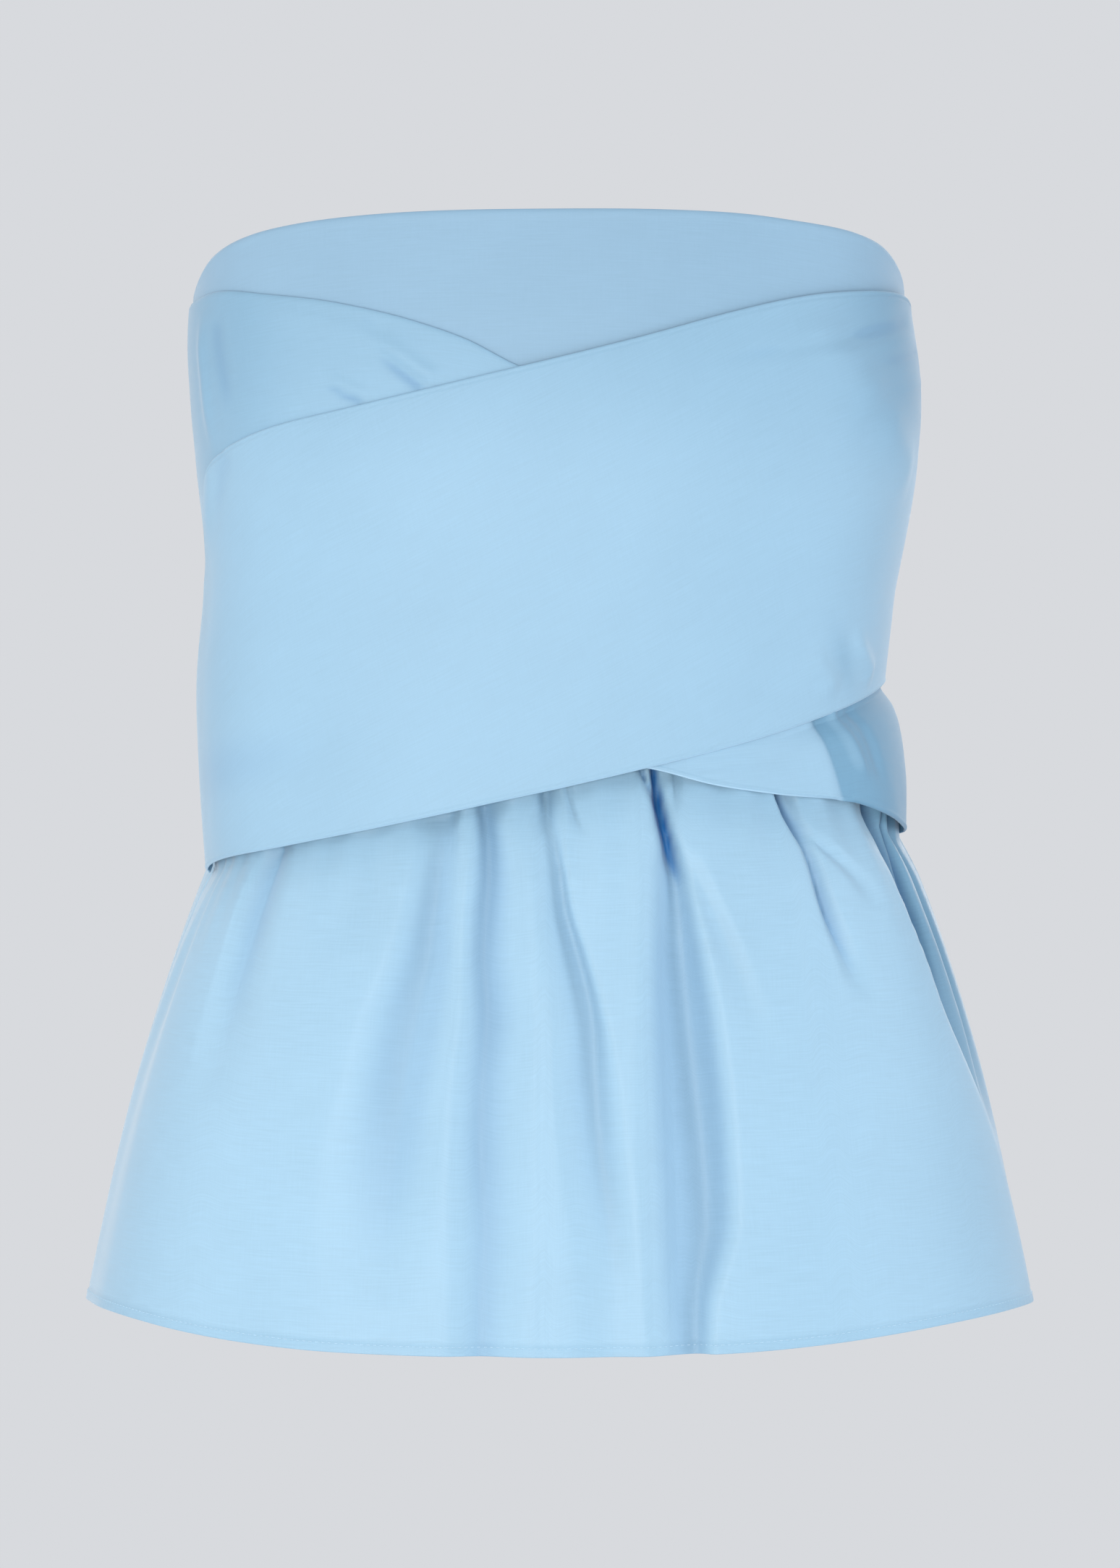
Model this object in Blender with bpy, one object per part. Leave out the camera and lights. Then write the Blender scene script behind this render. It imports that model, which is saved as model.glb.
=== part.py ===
# Strapless wrap-front top with a gathered peplum, filled out as if worn.
# Metres, +Z up. The front faces -Y and the wearer's right side is at -X.
# The origin is on the body's axis, level with the top edge under the arms.

import bpy
import numpy as np

# Driving sizes, in millimetres unless a name says otherwise
wall = 1.2
seamGap = 0.3
layerGap = 0.5
waistZ = -198.0
waistTuck = 4.0
wrapClear = 0.7
squareness = 0.03
sideAngle = 89.92

# Half widths and depths of the filled-out body, by height
bodyForm = {
    "z":     [30, 0, -10, -19, -31, -44, -57, -69, -82, -94, -107, -120, -132, -145, -157, -170, -198, -220, -254],
    "left":  [155.5, 156.8, 157.4, 157.9, 157.9, 157.1, 156.2, 155, 153.8, 152.4, 150.9, 149.5, 149.4, 150.4, 151.6,
              152.4, 151.9, 150.8, 148.3],
    "right": [151.2, 151.6, 151, 152.2, 154, 155.1, 155.1, 154.2, 153, 151.2, 148.8, 146.2, 143.9, 142.4, 141,
              139.6, 138.9, 139.7, 141],
    "front": [106, 110, 111.3, 112.4, 113.3, 113.7, 113.3, 112, 110.4, 108.7, 106.8, 104.8, 103.1, 101.6, 100.6,
              100, 100, 101, 103],
    "back":  [92, 95, 96.3, 97.3, 98.5, 99, 98.9, 98.2, 97.2, 96.2, 95.2, 94.2, 93.3, 92.7, 92.3, 92,
              92.5, 93.5, 95],
}

# Top edge of the bodice, by angle from the front centre
topEdge = {
    "phi": [-180, -130, -100, -90, -80, -67.5, -52, -42, -24, 0, 15, 29, 37, 55, 64, 75, 90, 100, 130, 180],
    "z":   [4, 1, -4, -6, -0.5, 9.2, 16.6, 19.5, 22.8, 24, 24, 22.8, 21.1, 17.1, 13.5, 5.7, -6, -5, 1, 4],
}

# Upper and lower edges of the two wraps
underTop = {
    "phi": [-90, -75, -59, -47, -31.5, -18.7, -12, -4.8, 10, 30, 50, 66, 78, 90],
    "z":   [-9, -7.8, -6.4, -9.4, -14.8, -23.7, -30.9, -42.2, -50.5, -59.5, -68, -78, -96, -120],
}
underLow = {
    "phi": [-90, -78, -63, -49, -28, -7, 5, 14.7, 25, 37, 56, 63, 75, 90],
    "z":   [-170, -173, -180, -187, -197, -203, -205.5, -208.5, -215, -219, -223, -226.7, -232, -236],
}
overTop = {
    "phi": [-90, -79, -73, -68, -61, -53, -47, -28.4, -18.3, -4.8, 11, 25.4, 32.7, 40.3, 50.7, 62, 75, 90],
    "z":   [-130, -118, -91, -80.2, -74.3, -69.4, -66.3, -57.7, -51.6, -42.3, -30.4, -19.1, -14.4, -10.7,
            -7.8, -6.1, -6, -9],
}
overLow = {
    "phi": [-90, -68, -46, -25.7, -15.2, -7, 5, 14.8, 28.5, 48.8, 62.8, 78, 90],
    "z":   [-253, -247.1, -241.3, -232.7, -226.8, -221.6, -214, -207.8, -199.3, -186.9, -179.6, -173.3, -170],
}

# The under-wrap swells out below the over-wrap's edge, over the gathers of the peplum
swellSide = {"phi": [-90, 12, 20, 28, 49, 63, 78, 90], "part": [0, 0, 0, 0.06, 0.42, 0.7, 0.95, 1]}
swellDown = {"mm": [0, 3, 6, 12, 19, 32, 57], "out": [0, 2.3, 4.7, 7.4, 9, 10.3, 9.6]}

# The skirt of the peplum: where it leaves the wraps, how far it stands out and where it ends
release = {
    "phi": [-180, -150, -120, -104, -90, -68, -46, -26, -15, -7, 5, 14.7, 25, 37, 56, 63, 90, 104, 118, 145, 180],
    "z":   [-204, -204, -211, -228, -250, -248, -242.6, -234, -228.4, -223.4, -216.4, -211.5, -216.8, -220.5,
            -224.8, -229, -238, -222, -210, -204, -204],
}
standOut = {
    "phi": [-180, -135, -90, -45, 0, 45, 90, 135, 180],
    "mm":  [44, 51, 55, 51, 43, 50, 55, 52, 44],
}
flareCurve = {
    "down": [0, 0.1, 0.2, 0.3, 0.4, 0.5, 0.6, 0.7, 0.8, 0.9, 1],
    "out":  [0, 0.155, 0.29, 0.41, 0.52, 0.62, 0.708, 0.787, 0.86, 0.932, 1],
}
hemEdge = {
    "phi": [-180, -135, -90, -80, -70, -60, -51, -43, -31, -12, 0, 13, 26, 36, 46, 57, 68, 78, 90, 135, 180],
    "z":   [-447, -443, -437.8, -437, -437.1, -438.9, -441.7, -444.2, -447.1, -448.8, -449, -448.7, -447.4, -445.1,
            -442.1, -438.9, -436.9, -436.3, -436.8, -443, -447],
}

# Folds of the peplum as troughs: centre angle, reach to each side and depth, by height
frontFolds = [
    {"z": [-200, -240, -262, -300, -330], "phi": [-48, -48, -49.5, -52, -55],
     "left": [2.5, 2.5, 5, 8, 8], "right": [2, 2, 4, 6, 6], "deep": [1, 4.6, 3.6, 1.6, 0]},
    {"z": [-200, -228, -255, -300, -350], "phi": [-16.5, -16.8, -18.4, -21, -24.5],
     "left": [3, 3, 5, 7, 9], "right": [3, 3, 4, 6, 7], "deep": [1, 3.4, 4, 2.6, 0]},
    {"z": [-200, -222, -265, -330, -446], "phi": [-9, -9.4, -10, -10.6, -11],
     "left": [3, 3, 4.5, 6, 8], "right": [3.2, 3.2, 5, 7, 9], "deep": [1, 3.6, 4.2, 3.2, 1.6]},
    {"z": [-200, -218, -240, -285, -340], "phi": [-1.6, -1.5, -1, 1.2, 4.6],
     "left": [2.2, 2.2, 3, 5, 6], "right": [2, 2, 2.6, 3.4, 5], "deep": [1, 4.8, 4.2, 2.6, 0]},
    {"z": [-200, -210, -230, -245, -268, -302, -340], "phi": [11.5, 13, 15.4, 16.9, 19.8, 26, 31],
     "left": [3.6, 4, 3.8, 3.4, 4, 6, 7], "right": [3.4, 4, 3.4, 3, 4, 6, 7],
     "deep": [1, 8.5, 9, 6.5, 4.4, 2.6, 0]},
    {"z": [-240, -275, -330, -446], "phi": [16.2, 16, 18.6, 17.5],
     "left": [3, 5, 6, 8], "right": [3, 4, 5, 8], "deep": [0, 2.6, 3, 1.2]},
    {"z": [-200, -220, -238, -275, -312, -350], "phi": [32.5, 34.3, 37, 41.3, 47, 52],
     "left": [2.6, 2.6, 3.4, 5, 7, 8], "right": [2.6, 2.6, 3, 4, 6, 8], "deep": [1, 5.2, 6, 4.6, 2.6, 0]},
    {"z": [-200, -232, -258, -290, -330, -370], "phi": [64, 65.8, 69, 71, 75, 79],
     "left": [7, 8, 9, 9, 9, 9], "right": [3, 3, 3, 4, 6, 7], "deep": [1, 5, 8, 6.5, 3, 0]},
    {"z": [-200, -250, -290, -340, -446], "phi": [-74, -75, -77, -79, -80],
     "left": [5, 5, 6, 7, 8], "right": [5, 6, 7, 9, 10], "deep": [1, 3, 4.5, 3, 1]},
]
backFolds = [
    {"z": [-200, -214, -250, -330, -446], "phi": [103, 103, 104, 106, 107],
     "left": [4, 4, 6, 8, 9], "right": [4, 4, 5, 7, 8], "deep": [1, 4.5, 6, 4, 1.5]},
    {"z": [-200, -214, -245, -310, -360], "phi": [118, 118, 119, 121, 123],
     "left": [3, 3.5, 5, 7, 8], "right": [3, 3, 4, 6, 7], "deep": [1, 4, 5, 2.6, 0]},
    {"z": [-200, -214, -255, -330, -446], "phi": [134, 134, 135.5, 137, 138],
     "left": [4, 4, 6, 8, 9], "right": [4, 4, 6, 7, 9], "deep": [1, 5, 7, 4.6, 1.8]},
    {"z": [-200, -214, -240, -290, -340], "phi": [149, 149, 149.6, 151, 152],
     "left": [3, 3, 4, 6, 7], "right": [3, 3, 4, 6, 7], "deep": [1, 4, 4.4, 2, 0]},
    {"z": [-200, -214, -260, -340, -446], "phi": [163, 163, 164, 165.5, 166],
     "left": [4, 4, 6, 8, 9], "right": [4, 4, 5, 7, 8], "deep": [1, 4.6, 6, 4, 1.4]},
    {"z": [-200, -214, -245, -300, -350], "phi": [178.5, 178.5, 179, 180, 181],
     "left": [3, 3.5, 5, 6, 7], "right": [3, 3, 4, 6, 7], "deep": [1, 4.4, 5, 2.4, 0]},
    {"z": [-200, -214, -255, -335, -446], "phi": [195, 195, 194.4, 193, 192.5],
     "left": [4, 4, 5, 7, 8], "right": [4, 4, 6, 8, 9], "deep": [1, 5, 6.4, 4.2, 1.6]},
    {"z": [-200, -214, -240, -290, -335], "phi": [210, 210, 209.6, 208, 207],
     "left": [3, 3, 4, 6, 7], "right": [3, 3, 4, 6, 7], "deep": [1, 4, 4.6, 2.2, 0]},
    {"z": [-200, -214, -255, -330, -446], "phi": [225, 225, 224, 222, 221],
     "left": [4, 4, 6, 8, 9], "right": [4, 4, 6, 8, 9], "deep": [1, 5, 7, 4.8, 1.8]},
    {"z": [-200, -214, -245, -310, -360], "phi": [241, 241, 240, 238, 237],
     "left": [3, 3.5, 4, 6, 7], "right": [3, 3, 5, 7, 8], "deep": [1, 4, 5, 2.6, 0]},
    {"z": [-200, -218, -255, -330, -446], "phi": [257, 257, 256, 254, 253],
     "left": [4, 4, 5, 7, 8], "right": [4, 4, 6, 8, 9], "deep": [1, 4, 5.6, 4, 1.5]},
]
gatherCount = 46
gatherDepth = {"down": [0, 8, 22, 50, 95], "front": [0.7, 1.1, 0.8, 0.3, 0], "back": [1.1, 2.2, 1.9, 0.9, 0]}

# Columns and rows of each grid
frontGrid = (48, 14)
backGrid = (36, 10)
overGrid = (48, 14)
underGrid = (48, 9, 6)
peplumGrid = (78, 13)


def smoothCurve(x, xs, ys):
    # Cubic through the table's points, with slopes taken from their neighbours
    xs = np.asarray(xs, float)
    ys = np.asarray(ys, float)
    if xs[0] > xs[-1]:
        xs = xs[::-1]
        ys = ys[::-1]
    slope = np.gradient(ys, xs)
    x = np.clip(x, xs[0], xs[-1])
    i = np.clip(np.searchsorted(xs, x) - 1, 0, len(xs) - 2)
    step = xs[i + 1] - xs[i]
    t = (x - xs[i]) / step
    start = (2 * t**3 - 3 * t**2 + 1) * ys[i] + (t**3 - 2 * t**2 + t) * step * slope[i]
    end = (3 * t**2 - 2 * t**3) * ys[i + 1] + (t**3 - t**2) * step * slope[i + 1]
    return start + end


def wrapAngle(phi):
    return (phi + 180.0) % 360.0 - 180.0


def bodyPoint(phi, z, out):
    # A rounded oval at each height, moved out along its own normal
    a = np.radians(phi)
    s = np.sin(a)
    c = np.cos(a)
    left = smoothCurve(z, bodyForm["z"], bodyForm["left"])
    right = smoothCurve(z, bodyForm["z"], bodyForm["right"])
    front = smoothCurve(z, bodyForm["z"], bodyForm["front"])
    back = smoothCurve(z, bodyForm["z"], bodyForm["back"])
    wide = np.where(s < 0, left, right)
    deep = np.where(c > 0, front, back)
    x = wide * (s + squareness * np.sin(3 * a)) / (1 - squareness)
    y = -deep * (c - squareness * np.cos(3 * a)) / (1 - squareness)
    dx = wide * (c + 3 * squareness * np.cos(3 * a))
    dy = deep * (s - 3 * squareness * np.sin(3 * a))
    size = np.hypot(dx, dy)
    return np.stack([x + out * dy / size, y - out * dx / size, z], axis=-1)


def edgeAt(table, phi):
    return smoothCurve(wrapAngle(phi), table["phi"], table["z"])


def easeIn(t):
    t = np.clip(t, 0, 1)
    return t * t * (3 - 2 * t)


def trough(fold, phi, z):
    heights = fold["z"][::-1]
    centre = np.interp(z, heights, fold["phi"][::-1])
    left = np.interp(z, heights, fold["left"][::-1])
    right = np.interp(z, heights, fold["right"][::-1])
    deep = np.interp(z, heights, fold["deep"][::-1], right=fold["deep"][0])
    t = np.where(phi < centre, (centre - phi) / left, (phi - centre) / right)
    t = np.clip(t, 0, 1)
    return deep * (1 - t)**2 * (1 + t)


def underSplit(phi):
    return np.maximum(edgeAt(overLow, phi) - 3, edgeAt(underLow, phi) + 20)


def swell(phi, z):
    part = smoothCurve(wrapAngle(phi), swellSide["phi"], swellSide["part"])
    return part * smoothCurve(underSplit(phi) - z, swellDown["mm"], swellDown["out"])


def peplumOut(phi, z, folds, side):
    # Tucked in at the waist, level with the body inside the wraps, then flaring out
    drop = edgeAt(release, phi)
    hem = edgeAt(hemEdge, phi)
    down = np.clip((drop - z) / (drop - hem), 0, 1)
    flare = smoothCurve(wrapAngle(phi), standOut["phi"], standOut["mm"])
    flare = flare * smoothCurve(down, flareCurve["down"], flareCurve["out"])
    tuck = waistTuck * (1 - easeIn((waistZ - z) / 22))
    phase = np.radians(phi * gatherCount + 50 * np.sin(np.radians(phi * 5)) + 35 * np.sin(np.radians(phi * 11)))
    ripple = np.interp(waistZ - z, gatherDepth["down"], gatherDepth[side])
    inward = ripple * (0.5 - 0.5 * np.cos(phase))
    for fold in folds:
        inward = inward + trough(fold, phi, z)
    clear = wrapClear * (1 - easeIn(down / 0.07))
    return flare + swellUnder(phi, np.maximum(z, drop)) - tuck - inward - clear


def swellUnder(phi, z):
    # The peplum follows the swelling on the front and lets it go behind the side seam
    behind = np.clip((phi - 90) / 22, 0, 1)
    return swell(np.minimum(phi, 90), z) * (1 - easeIn(behind))


def bodiceOut(z):
    return -waistTuck * easeIn((-130 - z) / (-130 - waistZ))


def levelOffsets(points):
    # Level directions out of the surface, longer where it slopes so that the wall keeps its thickness
    n = np.cross(np.gradient(points, axis=0), np.gradient(points, axis=1))
    n = n / np.linalg.norm(n, axis=-1, keepdims=True)
    level = np.linalg.norm(n[..., :2], axis=-1, keepdims=True)
    n[..., 2:] = 0
    return n / level / np.maximum(level, 0.7)


def clothSolid(name, points, colour, roughness):
    # The grid is the outer face; the inner face is the same grid moved in by the wall
    rows, cols = points.shape[:2]
    inner = points - levelOffsets(points) * wall
    verts = np.concatenate([points.reshape(-1, 3), inner.reshape(-1, 3)]) / 1000
    index = np.arange(rows * cols).reshape(rows, cols)
    a = index[:-1, :-1].ravel()
    b = index[:-1, 1:].ravel()
    c = index[1:, 1:].ravel()
    d = index[1:, :-1].ravel()
    k = rows * cols
    outerFaces = np.stack([a, d, c, b], axis=1)
    innerFaces = np.stack([a + k, b + k, c + k, d + k], axis=1)
    loop = np.concatenate([index[0, :-1], index[:-1, -1], index[-1, :0:-1], index[:0:-1, 0]])
    after = np.roll(loop, -1)
    rimFaces = np.stack([loop, after, after + k, loop + k], axis=1)
    faces = np.concatenate([outerFaces, innerFaces, rimFaces])
    mesh = bpy.data.meshes.new(name)
    mesh.from_pydata(verts.tolist(), [], faces.tolist())
    mesh.validate()
    mesh.update()
    material = bpy.data.materials.new(name)
    material.use_nodes = True
    shader = material.node_tree.nodes["Principled BSDF"]
    shader.inputs["Base Color"].default_value = (*colour, 1)
    shader.inputs["Roughness"].default_value = roughness
    shader.inputs["Metallic"].default_value = 0
    mesh.materials.append(material)
    obj = bpy.data.objects.new(name, mesh)
    topCollection.objects.link(obj)
    return obj


def bodicePanel(name, first, last, grid):
    cols, rows = grid
    phi = np.linspace(first, last, cols)[None, :]
    t = np.linspace(0, 1, rows)[:, None]
    top = edgeAt(topEdge, phi)
    z = top + (waistZ + seamGap / 2 - top) * t
    phi = np.broadcast_to(phi, z.shape)
    return clothSolid(name, bodyPoint(phi, z, bodiceOut(z)), bodiceColour, 0.6)


def overPanel(name):
    cols, rows = overGrid
    phi = np.linspace(-sideAngle, sideAngle, cols)[None, :]
    t = np.linspace(0, 1, rows)[:, None]
    top = edgeAt(overTop, phi)
    z = top + (edgeAt(overLow, phi) - top) * t
    phi = np.broadcast_to(phi, z.shape)
    return clothSolid(name, bodyPoint(phi, z, 2 * (layerGap + wall)), wrapColour, 0.6)


def underPanel(name):
    # A row of the grid follows the line where the swelling starts
    cols, upper, lower = underGrid
    phi = np.linspace(-sideAngle, sideAngle, cols)[None, :]
    top = edgeAt(underTop, phi)
    split = underSplit(phi)
    zUpper = top + (split - top) * np.linspace(0, 1, upper)[:, None]
    zLower = split + (edgeAt(underLow, phi) - split) * np.linspace(0, 1, lower)[1:, None]
    z = np.concatenate([zUpper, zLower])
    phi = np.broadcast_to(phi, z.shape)
    return clothSolid(name, bodyPoint(phi, z, layerGap + wall + swell(phi, z)), wrapColour, 0.6)


def peplumPanel(name, first, last, folds, side):
    cols, rows = peplumGrid
    phi = np.linspace(first, last, cols)[None, :]
    t = (np.linspace(0, 1, rows)**1.35)[:, None]
    hem = edgeAt(hemEdge, phi)
    z = waistZ - seamGap / 2 + (hem - waistZ) * t
    phi = np.broadcast_to(phi, z.shape)
    return clothSolid(name, bodyPoint(phi, z, peplumOut(phi, z, folds, side)), peplumColour, 0.6)


for oldObject in list(bpy.data.objects):
    bpy.data.objects.remove(oldObject, do_unlink=True)
topCollection = bpy.data.collections.new("wrap_peplum_top")
bpy.context.scene.collection.children.link(topCollection)

bodiceColour = (0.36, 0.55, 0.74)
wrapColour = (0.40, 0.61, 0.81)
peplumColour = (0.43, 0.65, 0.86)

bodicePanel("bodice_front", -sideAngle, sideAngle, frontGrid)
bodicePanel("bodice_back", 180 - sideAngle, 180 + sideAngle, backGrid)
underPanel("wrap_under")
overPanel("wrap_over")
peplumPanel("peplum_front", -sideAngle, sideAngle, frontFolds, "front")
peplumPanel("peplum_back", 180 - sideAngle, 180 + sideAngle, backFolds, "back")
print("built", ", ".join(obj.name for obj in topCollection.objects))
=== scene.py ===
# Strapless wrap-front top with a gathered peplum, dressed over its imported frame.
# All sizes in the tables are millimetres and degrees; meshes are made in metres.
import math

import bpy
import numpy as np
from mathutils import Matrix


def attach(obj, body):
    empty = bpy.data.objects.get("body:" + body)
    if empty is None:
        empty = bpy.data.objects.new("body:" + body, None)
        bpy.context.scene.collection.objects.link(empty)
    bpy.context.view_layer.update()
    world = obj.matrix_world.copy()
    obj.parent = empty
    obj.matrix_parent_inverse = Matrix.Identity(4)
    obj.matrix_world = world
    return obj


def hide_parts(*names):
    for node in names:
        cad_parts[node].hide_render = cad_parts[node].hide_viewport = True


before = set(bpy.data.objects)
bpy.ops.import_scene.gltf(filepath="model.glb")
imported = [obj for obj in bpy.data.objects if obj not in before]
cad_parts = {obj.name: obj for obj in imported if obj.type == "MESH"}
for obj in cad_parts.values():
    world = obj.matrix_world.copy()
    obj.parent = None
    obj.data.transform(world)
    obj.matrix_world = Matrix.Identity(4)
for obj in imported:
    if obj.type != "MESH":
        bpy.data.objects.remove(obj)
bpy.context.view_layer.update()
print("stage: frame loaded,", len(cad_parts), "nodes")

# ---- camera, floor and light

studio = {
    "cameraAt": (0.0019, -2.4, -0.215),  # level with the middle of the garment
    "focalPixels": 7632.0,  # for a picture 2168 pixels high
    "backdrop": (0.686, 0.701, 0.730),
    "backdropStrength": 1.0,
    "floorDrop": 1.0,  # metres below the camera
    "floorRadius": 3.0,
    "floorTint": (0.62, 0.63, 0.65),
}
softboxes = [
    {"name": "frontBox", "at": (-0.5, -2.7, -0.42), "size": (0.9, 0.9), "watts": 48.5,
     "tint": (1.0, 0.93, 0.87)},
    {"name": "leftStrip", "at": (-3.0, -0.75, 0.3), "size": (0.8, 2.0), "watts": 27.0,
     "tint": (0.95, 0.95, 0.93)},
    {"name": "rightStrip", "at": (3.0, -1.1, 0.3), "size": (0.8, 2.0), "watts": 35.0,
     "tint": (0.92, 0.96, 1.0)},
    {"name": "backFill", "at": (0.9, 2.6, 0.6), "size": (1.8, 1.8), "watts": 24.0,
     "tint": (1.0, 0.96, 0.93)},
]


def aimAt(obj, target):
    # Turns an object so that its -Z looks at the target
    away = np.array(obj.location) - np.array(target)
    flat = math.hypot(away[0], away[1])
    obj.rotation_euler = (math.atan2(flat, away[2]), 0, math.atan2(away[0], -away[1]))


def makeStudio():
    scene = bpy.context.scene
    scene.view_settings.view_transform = "Standard"
    world = bpy.data.worlds.new("paleStudio")
    world.use_nodes = True
    sky = world.node_tree.nodes["Background"]
    sky.inputs["Color"].default_value = (*studio["backdrop"], 1)
    sky.inputs["Strength"].default_value = studio["backdropStrength"]
    scene.world = world
    lens = bpy.data.cameras.new("photoCamera")
    lens.sensor_width = 36.0
    lens.lens = 36.0 * studio["focalPixels"] / 2168.0
    camera = bpy.data.objects.new("photoCamera", lens)
    camera.location = studio["cameraAt"]
    camera.rotation_euler = (math.radians(90), 0, 0)
    scene.collection.objects.link(camera)
    scene.camera = camera
    for box in softboxes:
        light = bpy.data.lights.new(box["name"], "AREA")
        light.shape = "RECTANGLE"
        light.size, light.size_y = box["size"]
        light.energy = box["watts"]
        light.color = box["tint"]
        lamp = bpy.data.objects.new(box["name"], light)
        lamp.location = box["at"]
        aimAt(lamp, (0, 0, -0.22))
        scene.collection.objects.link(lamp)


def makeFloor():
    # A disc: rings of growing radius times the turn round the circle
    turn = np.linspace(0, 2 * np.pi, 97)[:-1]
    radius = np.array([0.0001, 0.6, 1.2, 2.0, 2.9, studio["floorRadius"]])[:, None]
    x = radius * np.cos(turn)
    y = radius * np.sin(turn)
    z = np.full_like(x, studio["cameraAt"][2] - studio["floorDrop"])
    verts = np.stack([x, y, z], axis=-1).reshape(-1, 3)
    index = np.arange(x.size).reshape(x.shape)
    nextIndex = np.roll(index, -1, axis=1)
    faces = np.stack([index[:-1], index[1:], nextIndex[1:], nextIndex[:-1]], axis=-1).reshape(-1, 4)
    mesh = bpy.data.meshes.new("paleFloor")
    mesh.from_pydata(verts.tolist(), [], faces.tolist())
    mesh.update()
    floor = bpy.data.objects.new("paleFloor", mesh)
    bpy.context.scene.collection.objects.link(floor)
    paint = bpy.data.materials.new("floorPaint")
    paint.use_nodes = True
    nodes = paint.node_tree.nodes
    shader = nodes["Principled BSDF"]
    shader.inputs["Roughness"].default_value = 0.9
    speck = nodes.new("ShaderNodeTexNoise")
    speck.inputs["Scale"].default_value = 6.0
    ramp = nodes.new("ShaderNodeValToRGB")
    tint = studio["floorTint"]
    ramp.color_ramp.elements[0].color = (*[0.98 * c for c in tint], 1)
    ramp.color_ramp.elements[1].color = (*[1.02 * c for c in tint], 1)
    place = nodes.new("ShaderNodeTexCoord")
    paint.node_tree.links.new(place.outputs["Object"], speck.inputs["Vector"])
    paint.node_tree.links.new(speck.outputs["Fac"], ramp.inputs["Fac"])
    paint.node_tree.links.new(ramp.outputs["Color"], shader.inputs["Base Color"])
    mesh.materials.append(paint)


makeStudio()
makeFloor()
print("stage: camera, floor and light")

# ---- the body that the cloth is filled out on

bodyForm = {
    "z":     [30, 0, -10, -19, -31, -44, -57, -69, -82, -94, -107, -120, -132, -145, -157, -170, -198, -220, -254],
    "left":  [155.5, 156.8, 157.4, 157.9, 157.9, 157.1, 156.2, 155, 153.8, 152.4, 150.9, 149.5, 149.4, 150.4, 151.6,
              152.4, 151.9, 150.8, 148.3],
    "right": [151.2, 151.6, 151, 152.2, 154, 155.1, 155.1, 154.2, 153, 151.2, 148.8, 146.2, 143.9, 142.4, 141,
              139.6, 138.9, 139.7, 141],
    "front": [106, 110, 111.3, 112.4, 113.3, 113.7, 113.3, 112, 110.4, 108.7, 106.8, 104.8, 103.1, 101.6, 100.6,
              100, 100, 101, 103],
    "back":  [92, 95, 96.3, 97.3, 98.5, 99, 98.9, 98.2, 97.2, 96.2, 95.2, 94.2, 93.3, 92.7, 92.3, 92,
              92.5, 93.5, 95],
    "squareness": 0.03,
    "waistZ": -198.0,
    "waistTuck": 4.0,
    "wrapLift": 1.7,  # each wrap's outer face stands this far outside the layer below
    "mmPerDegree": 2.0,  # along the cloth at the side seams
}


def smoothCurve(x, xs, ys):
    # Cubic through the table's points, with slopes taken from their neighbours
    xs = np.asarray(xs, float)
    ys = np.asarray(ys, float)
    if xs[0] > xs[-1]:
        xs = xs[::-1]
        ys = ys[::-1]
    slope = np.gradient(ys, xs)
    x = np.clip(x, xs[0], xs[-1])
    i = np.clip(np.searchsorted(xs, x) - 1, 0, len(xs) - 2)
    step = xs[i + 1] - xs[i]
    t = (x - xs[i]) / step
    start = (2 * t**3 - 3 * t**2 + 1) * ys[i] + (t**3 - 2 * t**2 + t) * step * slope[i]
    end = (3 * t**2 - 2 * t**3) * ys[i + 1] + (t**3 - t**2) * step * slope[i + 1]
    return start + end


def easeIn(t):
    t = np.clip(t, 0, 1)
    return t * t * (3 - 2 * t)


def foldAngle(phi):
    return (phi + 180.0) % 360.0 - 180.0


def edgeAt(table, phi):
    return smoothCurve(foldAngle(phi), table["phi"], table["z"])


def bodyPoint(phi, z, out):
    # A rounded oval at each height, moved out along its own level normal
    a = np.radians(phi)
    s = np.sin(a)
    c = np.cos(a)
    wide = np.where(s < 0, smoothCurve(z, bodyForm["z"], bodyForm["left"]),
                    smoothCurve(z, bodyForm["z"], bodyForm["right"]))
    deep = np.where(c > 0, smoothCurve(z, bodyForm["z"], bodyForm["front"]),
                    smoothCurve(z, bodyForm["z"], bodyForm["back"]))
    k = bodyForm["squareness"]
    x = wide * (s + k * np.sin(3 * a)) / (1 - k)
    y = -deep * (c - k * np.cos(3 * a)) / (1 - k)
    dx = wide * (c + 3 * k * np.cos(3 * a))
    dy = deep * (s - 3 * k * np.sin(3 * a))
    size = np.hypot(dx, dy)
    return np.stack([x + out * dy / size, y - out * dx / size, z + 0 * x], axis=-1)


def pulls(phi, z, rows):
    # Soft ridges and troughs along straight lines: a bell across the line, fading towards both ends
    total = np.zeros(np.broadcast(phi, z).shape)
    for phi0, z0, phi1, z1, wide, high, fadeIn, fadeOut in rows:
        along = np.array([(phi1 - phi0) * 2.1, z1 - z0])
        length = np.hypot(*along)
        px = (phi - phi0) * 2.1
        pz = z - z0
        t = (px * along[0] + pz * along[1]) / length**2
        across = (px * along[1] - pz * along[0]) / length
        fade = easeIn(t / fadeIn) * easeIn((1 - t) / fadeOut)
        total = total + high * fade * np.exp(-(across / wide)**2)
    return total


# ---- cloth finish

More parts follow.
